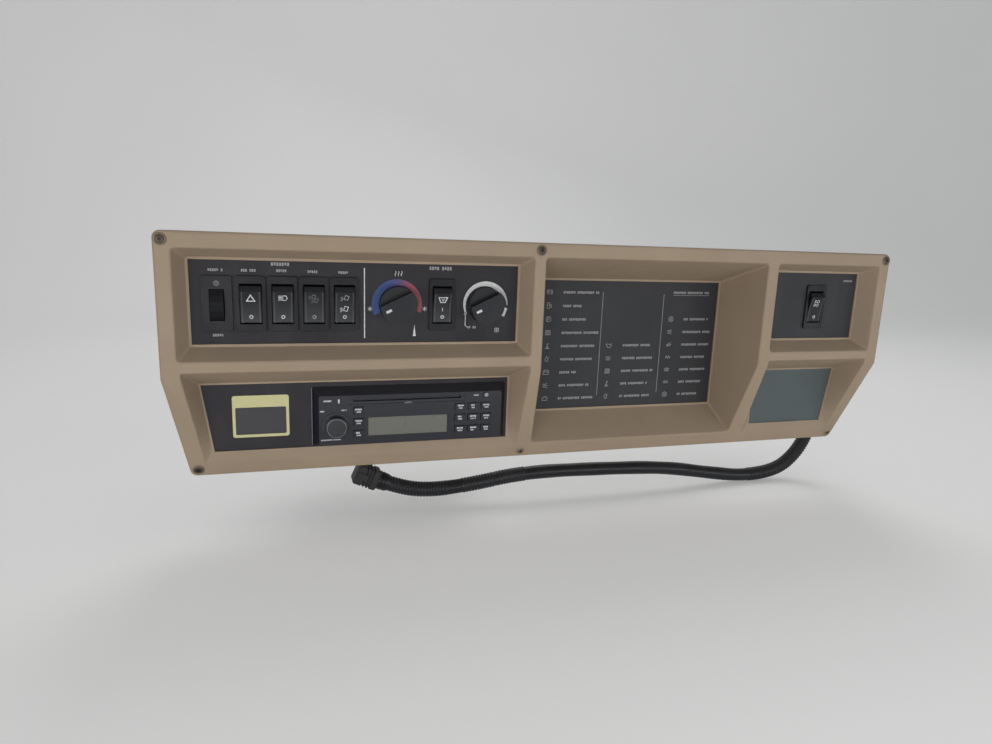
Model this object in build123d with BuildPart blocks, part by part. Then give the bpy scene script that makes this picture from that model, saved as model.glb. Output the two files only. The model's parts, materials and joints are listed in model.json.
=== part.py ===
"""Overhead control console of a farm machine's cab, in millimetres.

X is to the driver's right, Z is up along the console's upper facet and Y runs into the roof.
The origin is at mid width on the plane of the rim's back edge, level with the top row of screws.
Heights are measured from the fold line between the two facets, depths from the upper facet's front.
"""
import math
import os

from build123d import *

os.makedirs("parts", exist_ok=True)

# Fascia moulding
width = 720.0
upper_height = 118.3        # fold line to top edge
lower_length = 102.0        # fold line to bottom edge, along the lower facet
bottom_width = 691.2        # the lower facet narrows downwards
fold = 21.1                 # degrees that the lower facet leans back
rim_depth = 12.0            # outer rim, front to back
wall = 3.0
corner_r = 6.0              # outer corners, seen from the front
edge_r = 2.4                # rounded front edges, outside and round the mouths
lower_mouth_r = 1.6         # and round the lower side pockets' mouths

# Screw bosses: three along the top edge, three along the bottom edge
top_screw_drop = 6.8        # below the top edge
top_screw_inset = 6.0       # in from the ends
bottom_screw_drop = 95.0    # down the lower facet
bottom_screw_inset = 7.2    # in from the sloping sides
boss_r = 5.4
boss_sides = 8
screw_hole_r = 2.3

# Pocket mouths on the facets
side_flange = 12.4
lower_side_flange = 14.2
divider_left = 10.6
divider_right = 12.0
left_mouth = 302.5          # width of the two left-hand pockets
lamp_mouth = 241.3          # width of the tall middle pocket
mid_bar = 13.8              # bar above the fold, under the upper side pockets
lower_rise = 6.5            # the lower side pockets run up over the fold, by this in the lower facet's plane
top_flange = 13.0
bottom_flange = 13.6        # under the lower side pockets, along the facet
lamp_bottom_flange = 15.9   # under the middle pocket
pocket_r = 3.5              # rounding between two walls of a pocket
lower_pocket_r = 1.5        # and in the lower side pockets

# Pocket depths, and how far each wall leans in on its way to the panel
upper_depth = 20.0
lower_depth = 35.7
lamp_depth = 66.0
upper_lean_x = 8.6
upper_lean_bottom = 10.3
upper_lean_top = 8.0
lamp_lean_x = 10.4
lamp_lean_top = 23.1
lamp_panel_bottom = -56.0
lower_lean_top = 11.0
lower_lean_x = 9.6
lower_lean_bottom_x = 6.4
lower_panel_bottom = -74.6
ledge = 1.5                 # inward ledge that the panel's face shows behind
ledge_t = 1.4

# Panels seated behind the pockets
panel_t = 2.5
panel_overlap = 6.0         # past the pocket's inside, all round
cut_gap = 0.1               # room round a body that passes through a panel

# Rocker switches
rocker_w = 17.0
rocker_r = 16.4             # its ends curve about the pivot
rocker_gap = 0.4            # each side
rocker_end_gap = 0.5        # at its swinging ends
rocker_tilt = 10.0          # either way from level
rocker_proud = 4.4          # its ends, when level, from the panel's face
rocker_dip = 1.5            # its middle lies lower than its ends
rocker_back = 6.0           # its flat back, behind the panel's face
shoulder_h = 4.3            # sloping top end, seen from the front
shoulder_d = 4.0            # and how far it runs back
pivot_depth = 3.0           # behind the panel's face
pivot_r = 1.4
pin_sides = 8
pin_gap = 0.08
pin_reach = 1.2             # of each pivot pin into the housing's side
housing_side = 1.6          # wall beside the rocker
housing_end = 2.1           # wall above and below it
bezel_side = 1.6            # bezel past the body, each side
bezel_end = 4.5             # bezel past the body, above and below
bezel_t = 2.0
bezel_corner_r = 2.2
body_depth = 27.0
well_depth = 10.5           # room behind the rocker
blade_w = 6.3
blade_t = 0.8
blade_l = 9.0

# Places along the control row, from the left-hand pocket's two ends
first_rocker_in = 57.3
rocker_spacing = 1.45       # between neighbouring bezels
dimmer_spacing = 2.2        # between the dimmer's bezel and the first rocker's
temp_in = 122.2             # these three from the pocket's right end
ac_in = 81.5
fan_in = 40.8
aux_in = 66.4               # from the right-hand pocket's left end

# Thumbwheel dimmer
wheel_r = 19.0
wheel_w = 10.6
wheel_proud = 6.5           # above the panel's face
wheel_drop = 1.0            # its axis lies below the control row
wheel_teeth = 24
tooth_depth = 0.7
slot_gap = 0.5
wheel_pin_r = 1.6
dimmer_end = 0.8            # wall below the wheel
dimmer_back = 3.0           # and behind it

# Rotary controls
knob_r = 16.4
knob_h = 15.0
knob_foot = 0.6             # gap between its skirt and the panel
grip_w = 13.0
grip_recess = 6.5
pointer = 200.0             # where its pointer stands, degrees from +X
shaft_r = 3.0
shaft_gap = 0.1
control_size = 26.0
control_depth = 14.0
shaft_end_gap = 0.3

# Radio, its places measured from the middle of its face
chassis_w = 178.0
chassis_h = 50.0
chassis_depth = 140.0
nose_lip = 2.5              # face past the chassis, each side
nose_lip_z = 2.7            # above and below
nose_t = 7.0                # in front of the panel
nose_side = 5.3             # how far its bevelled sides run in
nose_top = 7.6
nose_bottom = 1.0
nose_r = 2.0
radio_side_gap = 3.8        # between it and the pocket's right wall
radio_bottom_gap = 2.3
display_x, display_z = -4.6, -10.3
display_w = 75.0
display_h = 17.6
display_sink = 1.0
display_t = 2.0
volume_x, volume_z = -71.0, -8.2
volume_r = 9.6
volume_l = 7.0
volume_ring_r = 12.2
volume_ring_t = 1.2
volume_gap = 0.4
volume_pin_l = 4.5
band_x, band_z = -4.7, 15.2     # shallow band with the disc slot in it
band_w = 109.0
band_h = 7.6
band_sink = 0.8
slot_h = 2.4
slot_depth = 4.0
side_key_x = -50.8
key_xs = [45.4, 58.3, 71.2]
key_zs = [5.8, -5.0, -16.4]
side_key_w = 9.0
key_w = 10.4
key_h = 6.4
key_gap = 0.2
key_sink = 2.0
key_proud = 1.2
round_key_x, round_key_z = 70.8, 16.8
round_key_r = 2.4

# Indicator lamp housing
lamp_housing_depth = 24.0
lamp_housing_inset = 5.0

# Wiring loom in its conduit, hanging between the radio and the lamp housing
loom_r = 8.0
loom_sides = 12
gland_r = 10.5
gland_l = 13.0
plug_w = 20.0               # across the loom
plug_l = 24.0               # along it
bracket_t = 2.0
bracket_w = 14.0
# Points of its centre line: x, depth, height
loom_route = [(-178, 75, -124), (-156, 75, -134), (-126, 75, -139.8), (-84, 75, -137.6),
              (-20, 75, -127.6), (66, 75, -129.2), (150, 75, -133), (212, 75, -144),
              (262, 75, -151.5), (309, 75, -147), (335, 76, -129), (352, 78, -103), (357, 80, -72),
              (350, 81, -41.5), (332, 81.5, -16), (305, 81.5, 2), (273, 81, 9.5), (240, 80.5, 11)]
run_share = 0.45            # of the shorter run beside it that each bend takes up

fold_z = top_screw_drop - upper_height
half = width / 2
face_y = -rim_depth
lean = math.radians(fold)

left_1 = -half + side_flange
right_1 = left_1 + left_mouth
left_2 = right_1 + divider_left
right_2 = left_2 + lamp_mouth
left_3 = right_2 + divider_right
right_3 = half - side_flange
upper_bottom = mid_bar
upper_top = upper_height - top_flange
lower_edge = lower_length - bottom_flange
lamp_edge = lower_length - lamp_bottom_flange
side_taper = (width - bottom_width) / 2 / lower_length


def face(depth):
    """Plane parallel to the upper facet, this far behind its front, facing the driver; y is height."""
    return Plane(origin=(0, face_y + depth, fold_z), x_dir=(1, 0, 0), z_dir=(0, -1, 0))


def lower_face(depth):
    """Plane parallel to the lower facet, this far behind its front; y is 0 at the fold."""
    normal = Vector(0, -math.cos(lean), -math.sin(lean))
    return Plane(origin=Vector(0, face_y, fold_z) - normal * depth, x_dir=(1, 0, 0), z_dir=normal)


def quad(top_left, top_right, bottom_left, bottom_right, bottom, top, grow=0.0):
    """Corners of a shape with level top and bottom and sides that may slope."""
    return [(top_left - grow, top + grow), (top_right + grow, top + grow),
            (bottom_right + grow, bottom - grow), (bottom_left - grow, bottom - grow)]


def rect(left, right, bottom, top):
    """Corners of an upright rectangle."""
    return quad(left, right, left, right, bottom, top)


def grown(corners, by):
    """A level-topped shape's corners, moved out on every side."""
    (x0, z0), (x1, _), (x2, z2), (x3, _) = corners
    return quad(x0, x1, x3, x2, z2, z0, by)


def slide(front, back, share):
    """Corners that share of the way from the front ones to the back ones."""
    return [(a[0] + (b[0] - a[0]) * share, a[1] + (b[1] - a[1]) * share) for a, b in zip(front, back)]


def section(plane, corners, radius=0.0):
    """A four-sided sketch, with rounded corners if asked."""
    with BuildSketch(plane) as made:
        with BuildLine():
            Polyline(*corners, close=True)
        make_face()
        if radius:
            fillet(made.vertices(), radius)
    return made.sketch


def block(front_plane, front, back_plane, back, radius=0.0):
    """Flat-sided solid between two outlines, its four lengthwise edges rounded if asked."""
    starts = [front_plane.from_local_coords(Vector(*corner)) for corner in front]
    ends = [back_plane.from_local_coords(Vector(*corner)) for corner in back]
    middles = [(a + b) / 2 for a, b in zip(starts, ends)]
    with BuildPart() as made:
        ConvexPolyhedron(starts + ends)
        if radius:
            fillet([e for e in made.edges() if min((e.center() - m).length for m in middles) < 0.1], radius)
    return made.part


def plate(depth, x, row, w, h, radius=0.0):
    """An upright rectangle about a centre, on the plane at this depth."""
    return section(face(depth), rect(x - w / 2, x + w / 2, row - h / 2, row + h / 2), radius)


def disc(depth, x, row, r):
    """A circle on the plane at this depth."""
    with BuildSketch(face(depth)) as made:
        with Locations((x, row)):
            Circle(r)
    return made.sketch


def save(part, name):
    """Label a finished piece and write it."""
    part.label = name
    export_step(part, f"parts/{name}.step")


# The lamp pocket's floor starts on the lower facet and is run forward to the upper facet's plane.
lamp_mouth_y = lamp_edge * math.sin(lean)
lamp_mouth_z = -lamp_edge * math.cos(lean)
lamp_floor_slope = (lamp_mouth_z - lamp_panel_bottom) / (lamp_depth - lamp_mouth_y)
lamp_front_bottom = lamp_panel_bottom + lamp_floor_slope * lamp_depth

# Pockets whose mouth lies in the upper facet's plane: mouth corners, panel corners, depth
switch_pocket = (rect(left_1, right_1, upper_bottom, upper_top),
                 rect(left_1 + upper_lean_x, right_1 - upper_lean_x,
                      upper_bottom + upper_lean_bottom, upper_top - upper_lean_top), upper_depth)
lamp_pocket = (rect(left_2, right_2, lamp_front_bottom, upper_top),
               rect(left_2 + lamp_lean_x, right_2 - lamp_lean_x,
                    lamp_panel_bottom, upper_top - lamp_lean_top), lamp_depth)
aux_pocket = (rect(left_3, right_3, upper_bottom, upper_top),
              rect(left_3 + upper_lean_x, right_3 - upper_lean_x,
                   upper_bottom + upper_lean_bottom, upper_top - upper_lean_top), upper_depth)

# Pockets that open on both sides of the fold, whose outer side slopes: mouth corners in the lower
# facet's plane, panel corners
outer_top = half - lower_side_flange
outer_bottom = outer_top - side_taper * lower_edge
radio_pocket = (quad(-outer_top, right_1, -outer_bottom, right_1, -lower_edge, lower_rise),
                quad(-outer_top + lower_lean_x, right_1 - lower_lean_x,
                     -outer_bottom + lower_lean_bottom_x, right_1 - lower_lean_x,
                     lower_panel_bottom, -lower_lean_top))
blank_pocket = (quad(left_3, outer_top, left_3, outer_bottom, -lower_edge, lower_rise),
                quad(left_3 + lower_lean_x, outer_top - lower_lean_x,
                     left_3 + lower_lean_x, outer_bottom - lower_lean_bottom_x,
                     lower_panel_bottom, -lower_lean_top))

# Screw rows on each facet: x, height
screw_top_x = half - top_screw_inset
screw_bottom_x = half - side_taper * bottom_screw_drop - bottom_screw_inset
middle_screw_x = (right_1 + left_2) / 2
top_screws = [(x, upper_height - top_screw_drop) for x in (-screw_top_x, middle_screw_x, screw_top_x)]
bottom_screws = [(x, -bottom_screw_drop) for x in (-screw_bottom_x, middle_screw_x, screw_bottom_x)]


def down_facet(along, depth):
    """Side-view point this far down the lower facet from the fold and this far behind its front."""
    return (face_y + along * math.sin(lean) + depth * math.cos(lean),
            fold_z - along * math.cos(lean) + depth * math.sin(lean))


def folded(inset, back):
    """The fascia's folded slab, its front and sides moved in by inset and its back at depth back."""
    bend = math.tan(lean / 2)
    over = rim_depth            # the profile runs past the outline, which trims it straight back
    top = fold_z + upper_height + over
    end = lower_length + over
    with BuildPart() as made:
        with BuildSketch(Plane.YZ):
            with BuildLine():
                Polyline((face_y + inset, top), (face_y + inset, fold_z + inset * bend),
                         down_facet(end, inset), down_facet(end, back),
                         (face_y + back, fold_z + back * bend), (face_y + back, top), close=True)
            make_face()
        extrude(amount=half, both=True)
        with BuildSketch(face(0)) as outline:
            with BuildLine():
                drop = lower_length * math.cos(lean)
                Polyline((-half, upper_height), (half, upper_height), (half, 0),
                         (bottom_width / 2, -drop), (-bottom_width / 2, -drop), (-half, 0), close=True)
            make_face()
            corners = outline.vertices().group_by(Axis.Y)
            fillet(corners[0] + corners[-1], corner_r)
            if inset:
                offset(amount=-inset)
        extrude(amount=-lower_length, mode=Mode.INTERSECT)
    return made.part


def front_edges(part):
    """Edges round the flat front faces, leaving out the fold between two of them."""
    fronts = part.faces().filter_by(GeomType.PLANE)
    fronts = fronts.filter_by(lambda f: f.normal_at().Y < -0.9 and f.bounding_box().min.Y < face_y + 1)
    edges = [e for f in fronts for e in f.edges()]
    places = [tuple(round(c, 3) for c in e.center()) for e in edges]
    return [e for e, p in zip(edges, places) if places.count(p) == 1]


def mouth_edges(part, corners, drop=1.0):
    """Front edges within this mouth's outline; drop shortens heights given along the lower facet."""
    xs = [x for x, _ in corners]
    zs = [fold_z + z * drop for _, z in corners]
    near = edge_r / 2
    return [e for e in front_edges(part)
            if min(xs) - near < e.center().X < max(xs) + near
            and min(zs) - near < e.center().Z < max(zs) + near]


reach = 1.08                # cutters run past the mouth by this share of the pocket's depth
with BuildPart() as fascia:
    add(folded(0, rim_depth))
    fillet(front_edges(fascia.part), edge_r)
    add(folded(wall, 2 * rim_depth), mode=Mode.SUBTRACT)
    # Pocket walls
    for mouth, panel, depth in (switch_pocket, lamp_pocket, aux_pocket):
        add(block(face(0), grown(mouth, wall), face(depth), grown(panel, wall)))
    for mouth, panel in (radio_pocket, blank_pocket):
        loft([section(lower_face(0), grown(mouth, wall)), section(face(lower_depth), grown(panel, wall))],
             ruled=True)
    # Nothing stands in front of either facet
    for front in (face(0), lower_face(0)):
        with BuildSketch(front):
            Rectangle(2 * width, 2 * width)
        extrude(amount=width, mode=Mode.SUBTRACT)
    # Pocket voids, down to the ledge that frames each panel
    for mouth, panel, depth in (switch_pocket, lamp_pocket, aux_pocket):
        stop = 1 - ledge_t / depth
        add(block(face((1 - reach) * depth), slide(panel, mouth, reach),
                  face(stop * depth), slide(mouth, panel, stop), pocket_r), mode=Mode.SUBTRACT)
        extrude(section(face(depth / 2), grown(panel, -ledge)), amount=-depth, mode=Mode.SUBTRACT)
    for mouth, panel in (radio_pocket, blank_pocket):
        loft([section(lower_face(0), mouth, lower_pocket_r),
              section(face(lower_depth - ledge_t), panel, lower_pocket_r)], ruled=True, mode=Mode.SUBTRACT)
        extrude(section(face(lower_depth - 3 * ledge_t), grown(panel, -ledge)), amount=-lower_depth,
                mode=Mode.SUBTRACT)
    # Rounded edges round each mouth: corners, share of their heights that stands upright, radius
    for corners, drop, radius in ((rect(left_2, right_2, lamp_mouth_z, upper_top), 1.0, edge_r),
                                  (radio_pocket[0], math.cos(lean), lower_mouth_r),
                                  (blank_pocket[0], math.cos(lean), lower_mouth_r),
                                  (switch_pocket[0], 1.0, edge_r), (aux_pocket[0], 1.0, edge_r)):
        fillet(mouth_edges(fascia.part, corners, drop), radius)
    # Screw bosses and their holes
    for plane, rows in ((face, top_screws), (lower_face, bottom_screws)):
        with BuildSketch(plane(wall / 2)):
            with Locations(*rows):
                RegularPolygon(boss_r, boss_sides)
        extrude(amount=wall / 2 - rim_depth)
        with BuildSketch(plane(-wall)):
            with Locations(*rows):
                Circle(screw_hole_r)
        extrude(amount=-3 * rim_depth, mode=Mode.SUBTRACT)
save(fascia.part, "fascia")

# Places that the controls share
switch_row = (upper_bottom + upper_top) / 2
body_w = rocker_w + 2 * (rocker_gap + housing_side)
body_h = 2 * (rocker_r + rocker_end_gap + housing_end)
bezel_w = body_w + 2 * bezel_side
bezel_h = body_h + 2 * bezel_end
rocker_pitch = bezel_w + rocker_spacing
first_rocker_x = left_1 + first_rocker_in
rocker_xs = [first_rocker_x + i * rocker_pitch for i in range(4)]
dimmer_x = first_rocker_x - bezel_w - dimmer_spacing
temp_x = right_1 - temp_in
ac_x = right_1 - ac_in
fan_x = right_1 - fan_in
aux_x = left_3 + aux_in
wheel_row = switch_row - wheel_drop
wheel_depth = wheel_r - wheel_proud
dimmer_h = 2 * (wheel_r + slot_gap + wheel_drop + dimmer_end)
dimmer_depth = wheel_depth + wheel_r + slot_gap + dimmer_back
nose_w = chassis_w + 2 * nose_lip
nose_h = chassis_h + 2 * nose_lip_z
radio_x = radio_pocket[1][1][0] - radio_side_gap - nose_w / 2
radio_z = lower_panel_bottom + radio_bottom_gap + nose_h / 2

# Panels: name, visible corners, depth, rectangular cut-outs (x, height, width, height), round holes (x, r)
switch_cuts = [(x, switch_row, body_w, body_h) for x in (*rocker_xs, ac_x)]
switch_cuts.append((dimmer_x, switch_row, body_w, dimmer_h))
shaft_holes = [(x, shaft_r + shaft_gap) for x in (temp_x, fan_x)]
panels = [
    ("switch_panel", switch_pocket[1], upper_depth, switch_cuts, shaft_holes),
    ("indicator_panel", lamp_pocket[1], lamp_depth, [], []),
    ("aux_panel", aux_pocket[1], upper_depth, [(aux_x, switch_row, body_w, body_h)], []),
    ("radio_panel", radio_pocket[1], lower_depth, [(radio_x, radio_z, chassis_w, chassis_h)], []),
    ("blank_panel", blank_pocket[1], lower_depth, [], []),
]
for name, corners, depth, cuts, holes in panels:
    with BuildPart() as panel:
        extrude(section(face(depth), grown(corners, panel_overlap)), amount=-panel_t)
        for x, row, w, h in cuts:
            extrude(plate(depth, x, row, w + 2 * cut_gap, h + 2 * cut_gap), amount=-panel_t,
                    mode=Mode.SUBTRACT)
        for x, r in holes:
            extrude(disc(depth, x, switch_row, r), amount=-panel_t, mode=Mode.SUBTRACT)
    save(panel.part, name)


def at_pivot(x, row, depth, turn=0.0):
    """Side-view plane through a pivot along X: local x runs back, local y up, turned top outwards."""
    a = math.radians(turn)
    return Plane(origin=(x, face_y + depth, fold_z + row), x_dir=(0, math.cos(a), math.sin(a)), z_dir=(1, 0, 0))


def pin(x, row, depth, r):
    """Section of a pivot pin along X."""
    with BuildSketch(at_pivot(x, row, depth)) as made:
        RegularPolygon(r, pin_sides)
    return made.sketch


def pin_slot(x, row, depth, r):
    """Section of the square slot that a pivot pin turns in."""
    with BuildSketch(at_pivot(x, row, depth)) as made:
        Rectangle(2 * r, 2 * r)
    return made.sketch


def blades(x, length):
    """Outlines of three terminal blades on the back of a switch."""
    with BuildSketch(face(upper_depth + length)) as made:
        for row in (-body_h / 3, 0, body_h / 3):
            with Locations((x, switch_row + row)):
                Rectangle(blade_w, blade_t)
    return made.sketch


# Rocker switches: name, x
rockers = [("hazard", rocker_xs[0]), ("road_light", rocker_xs[1]), ("field_light", rocker_xs[2]),
           ("work_light", rocker_xs[3]), ("ac", ac_x), ("aux", aux_x)]
rocker_axis = upper_depth + pivot_depth
rocker_front = -pivot_depth - rocker_proud
for name, x in rockers:
    with BuildPart() as housing:
        extrude(plate(upper_depth, x, switch_row, bezel_w, bezel_h, bezel_corner_r), amount=bezel_t)
        extrude(plate(upper_depth, x, switch_row, body_w, body_h), amount=-body_depth)
        extrude(blades(x, body_depth), amount=-blade_l)
        extrude(plate(upper_depth - bezel_t, x, switch_row, rocker_w + 2 * rocker_gap,
                      2 * (rocker_r + rocker_end_gap)), amount=-bezel_t - well_depth, mode=Mode.SUBTRACT)
        extrude(pin_slot(x, switch_row, rocker_axis, pivot_r + pin_gap),
                amount=rocker_w / 2 + rocker_gap + pin_reach + pin_gap, both=True, mode=Mode.SUBTRACT)
    save(housing.part, name + "_switch")
    with BuildPart() as rocker:
        with BuildSketch(at_pivot(x, switch_row, rocker_axis, rocker_tilt)):
            Circle(rocker_r)
            with BuildLine():
                Polyline((rocker_front + shoulder_d, rocker_r), (rocker_front, rocker_r - shoulder_h),
                         (rocker_front + rocker_dip, 0), (rocker_front, -rocker_r),
                         (rocker_back - pivot_depth, -rocker_r), (rocker_back - pivot_depth, rocker_r),
                         close=True)
            make_face(mode=Mode.INTERSECT)
        extrude(amount=rocker_w / 2, both=True)
        extrude(pin(x, switch_row, rocker_axis, pivot_r),
                amount=rocker_w / 2 + rocker_gap + pin_reach, both=True)
    save(rocker.part, name + "_rocker")

# Thumbwheel dimmer
wheel_axis = upper_depth + wheel_depth
with BuildPart() as dimmer_housing:
    extrude(plate(upper_depth, dimmer_x, switch_row, bezel_w, bezel_h, bezel_corner_r), amount=bezel_t)
    extrude(plate(upper_depth, dimmer_x, switch_row, body_w, dimmer_h), amount=-dimmer_depth)
    extrude(blades(dimmer_x, dimmer_depth), amount=-blade_l)
    with BuildSketch(at_pivot(dimmer_x, wheel_row, wheel_axis)):
        Circle(wheel_r + slot_gap)
    extrude(amount=wheel_w / 2 + slot_gap, both=True, mode=Mode.SUBTRACT)
    extrude(pin_slot(dimmer_x, wheel_row, wheel_axis, wheel_pin_r + pin_gap),
            amount=wheel_w / 2 + slot_gap + pin_reach + pin_gap, both=True, mode=Mode.SUBTRACT)
save(dimmer_housing.part, "dimmer_housing")

with BuildPart() as dimmer_wheel:
    with BuildSketch(at_pivot(dimmer_x, wheel_row, wheel_axis)):
        Circle(wheel_r)
        with PolarLocations(wheel_r, wheel_teeth):
            Rectangle(2 * tooth_depth, math.pi * wheel_r / wheel_teeth, mode=Mode.SUBTRACT)
    extrude(amount=wheel_w / 2, both=True)
    extrude(pin(dimmer_x, wheel_row, wheel_axis, wheel_pin_r),
            amount=wheel_w / 2 + slot_gap + pin_reach, both=True)
save(dimmer_wheel.part, "dimmer_wheel")

# Rotary controls: name, x
knob_floor = knob_h - grip_recess
shaft_back = panel_t + control_depth / 2
for name, x in (("temp", temp_x), ("fan", fan_x)):
    with BuildPart() as control:
        extrude(plate(upper_depth + panel_t, x, switch_row, control_size, control_size),
                amount=-control_depth)
        extrude(disc(upper_depth, x, switch_row, shaft_r + shaft_gap), amount=-shaft_back,
                mode=Mode.SUBTRACT)
    save(control.part, name + "_control")
    with BuildPart() as knob:
        extrude(disc(upper_depth - knob_foot, x, switch_row, knob_r), amount=knob_floor - knob_foot)
        with BuildSketch(face(upper_depth - knob_floor)):
            with Locations((x, switch_row)):
                Circle(knob_r)
                Rectangle(2 * knob_r, grip_w, rotation=pointer, mode=Mode.INTERSECT)
        extrude(amount=grip_recess)
        extrude(disc(upper_depth - knob_foot, x, switch_row, shaft_r),
                amount=shaft_end_gap - knob_foot - shaft_back)
    save(knob.part, name + "_knob")

# Radio
nose_front = lower_depth - nose_t
nose_back = rect(radio_x - nose_w / 2, radio_x + nose_w / 2, radio_z - nose_h / 2, radio_z + nose_h / 2)
nose_flat = rect(nose_back[0][0] + nose_side, nose_back[1][0] - nose_side,
                 nose_back[2][1] + nose_bottom, nose_back[0][1] - nose_top)
# Keys on the radio's face: x, height, width
radio_keys = ([(radio_x + side_key_x, radio_z + z, side_key_w) for z in key_zs]
              + [(radio_x + x, radio_z + z, key_w) for x in key_xs for z in key_zs])
with BuildPart() as radio_chassis:
    extrude(plate(lower_depth, radio_x, radio_z, chassis_w, chassis_h), amount=-chassis_depth)
save(radio_chassis.part, "radio_chassis")

with BuildPart() as radio_face:
    loft([section(face(lower_depth), nose_back, nose_r), section(face(nose_front), nose_flat, nose_r)],
         ruled=True)
    # Recesses: x, height, width, height, depth
    for x, z, w, h, deep in ((display_x, display_z, display_w, display_h, display_sink + display_t),
                             (band_x, band_z, band_w, band_h, band_sink),
                             (band_x, band_z, band_w - band_h, slot_h, slot_depth)):
        extrude(plate(nose_front, radio_x + x, radio_z + z, w, h), amount=-deep, mode=Mode.SUBTRACT)
    for x, row, w in radio_keys:
        extrude(plate(nose_front, x, row, w + 2 * key_gap, key_h + 2 * key_gap), amount=-key_sink,
                mode=Mode.SUBTRACT)
    extrude(disc(nose_front, radio_x + round_key_x, radio_z + round_key_z, round_key_r + key_gap),
            amount=-key_sink, mode=Mode.SUBTRACT)
    extrude(disc(nose_front, radio_x + volume_x, radio_z + volume_z, volume_ring_r), amount=volume_ring_t)
    extrude(disc(nose_front - volume_ring_t, radio_x + volume_x, radio_z + volume_z, shaft_r + shaft_gap),
            amount=-volume_ring_t - volume_pin_l - shaft_end_gap, mode=Mode.SUBTRACT)
save(radio_face.part, "radio_face")

with BuildPart() as radio_display:
    extrude(plate(nose_front + display_sink, radio_x + display_x, radio_z + display_z,
                  display_w, display_h), amount=-display_t)
save(radio_display.part, "radio_display")

with BuildPart() as radio_buttons:
    for x, row, w in radio_keys:
        extrude(plate(nose_front + key_sink, x, row, w, key_h), amount=key_sink + key_proud)
    extrude(disc(nose_front + key_sink, radio_x + round_key_x, radio_z + round_key_z, round_key_r),
            amount=key_sink + key_proud)
save(radio_buttons.part, "radio_keys")

with BuildPart() as radio_knob:
    knob_back = nose_front - volume_ring_t - volume_gap
    extrude(disc(knob_back, radio_x + volume_x, radio_z + volume_z, volume_r), amount=volume_l)
    extrude(disc(knob_back, radio_x + volume_x, radio_z + volume_z, shaft_r),
            amount=-volume_ring_t - volume_gap - volume_pin_l)
save(radio_knob.part, "radio_knob")

# Route of the loom's centre line; it ends square to a gland on the lamp housing's right side
housing_corners = grown(lamp_pocket[1], panel_overlap - lamp_housing_inset)
housing_right = housing_corners[1][0]
route = [Vector(x, face_y + depth, fold_z + height) for x, depth, height in loom_route]
route.append(Vector(housing_right + gland_l, route[-1].Y, route[-1].Z))
radii = []
for before, here, after in zip(route, route[1:], route[2:]):
    turn = (here - before).get_angle(after - here)
    run = min((here - before).length, (after - here).length)
    radii.append(run_share * run / math.tan(math.radians(turn / 2)))
print("loom radii", [round(r) for r in radii])

with BuildPart() as loom:
    with BuildLine():
        FilletPolyline(*route, radius=radii)
    with BuildSketch(Plane(origin=route[0], z_dir=route[1] - route[0])):
        RegularPolygon(loom_r, loom_sides)
    sweep()
save(loom.part, "loom")

# Indicator lamp housing, with the loom's gland
with BuildPart() as lamp_housing:
    extrude(section(face(lamp_depth + panel_t), housing_corners), amount=-lamp_housing_depth)
    with BuildSketch(Plane.YZ.offset(housing_right)):
        with Locations((route[-1].Y, route[-1].Z)):
            Circle(gland_r)
    extrude(amount=gland_l)
save(lamp_housing.part, "lamp_housing")

# Plug at the loom's other end, held by a bracket under the radio
plug_end = Plane(origin=route[0], x_dir=(0, 1, 0), z_dir=route[0] - route[1])
plug_middle = plug_end.from_local_coords((0, 0, plug_l / 2))
plug_depth = loom_route[0][1] + plug_w / 2
chassis_bottom = radio_z - chassis_h / 2
with BuildPart() as loom_plug:
    with BuildSketch(plug_end):
        Rectangle(plug_w, plug_w)
    extrude(amount=plug_l)
save(loom_plug.part, "loom_plug")

with BuildPart() as loom_bracket:
    leg_h = chassis_bottom - (plug_middle.Z - fold_z)
    extrude(plate(plug_depth + bracket_t, plug_middle.X, chassis_bottom - leg_h / 2, bracket_w, leg_h),
            amount=bracket_t)
    extrude(plate(plug_depth + bracket_t, plug_middle.X, chassis_bottom - bracket_t / 2, bracket_w,
                  bracket_t), amount=-plug_w)
save(loom_bracket.part, "loom_bracket")
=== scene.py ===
"""Looks of an overhead cab control console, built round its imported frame. Lengths are metres but for those in mm."""
import json
import math

import bmesh
import bpy
from mathutils import Matrix, Vector


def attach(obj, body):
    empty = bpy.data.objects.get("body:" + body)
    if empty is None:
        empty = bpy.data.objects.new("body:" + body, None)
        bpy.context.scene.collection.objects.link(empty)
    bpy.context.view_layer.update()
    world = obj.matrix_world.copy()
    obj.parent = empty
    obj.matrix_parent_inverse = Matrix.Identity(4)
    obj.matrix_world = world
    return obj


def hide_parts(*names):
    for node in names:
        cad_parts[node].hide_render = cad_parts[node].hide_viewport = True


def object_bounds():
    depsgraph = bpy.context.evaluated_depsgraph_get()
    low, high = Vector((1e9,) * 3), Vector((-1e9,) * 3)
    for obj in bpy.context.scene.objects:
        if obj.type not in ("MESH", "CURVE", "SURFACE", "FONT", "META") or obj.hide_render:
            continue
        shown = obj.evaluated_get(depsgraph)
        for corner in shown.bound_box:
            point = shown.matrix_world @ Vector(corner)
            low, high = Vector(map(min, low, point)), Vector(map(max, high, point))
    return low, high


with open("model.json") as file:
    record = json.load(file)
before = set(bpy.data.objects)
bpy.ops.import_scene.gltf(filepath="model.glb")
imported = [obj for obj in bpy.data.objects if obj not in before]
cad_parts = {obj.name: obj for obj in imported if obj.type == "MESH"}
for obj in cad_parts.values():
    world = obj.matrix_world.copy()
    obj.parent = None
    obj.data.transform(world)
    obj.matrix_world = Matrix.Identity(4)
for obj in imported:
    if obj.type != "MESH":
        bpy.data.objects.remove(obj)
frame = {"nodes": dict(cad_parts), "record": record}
cad_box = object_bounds()
scene = bpy.context.scene
scene.view_settings.view_transform = "Standard"

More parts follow.
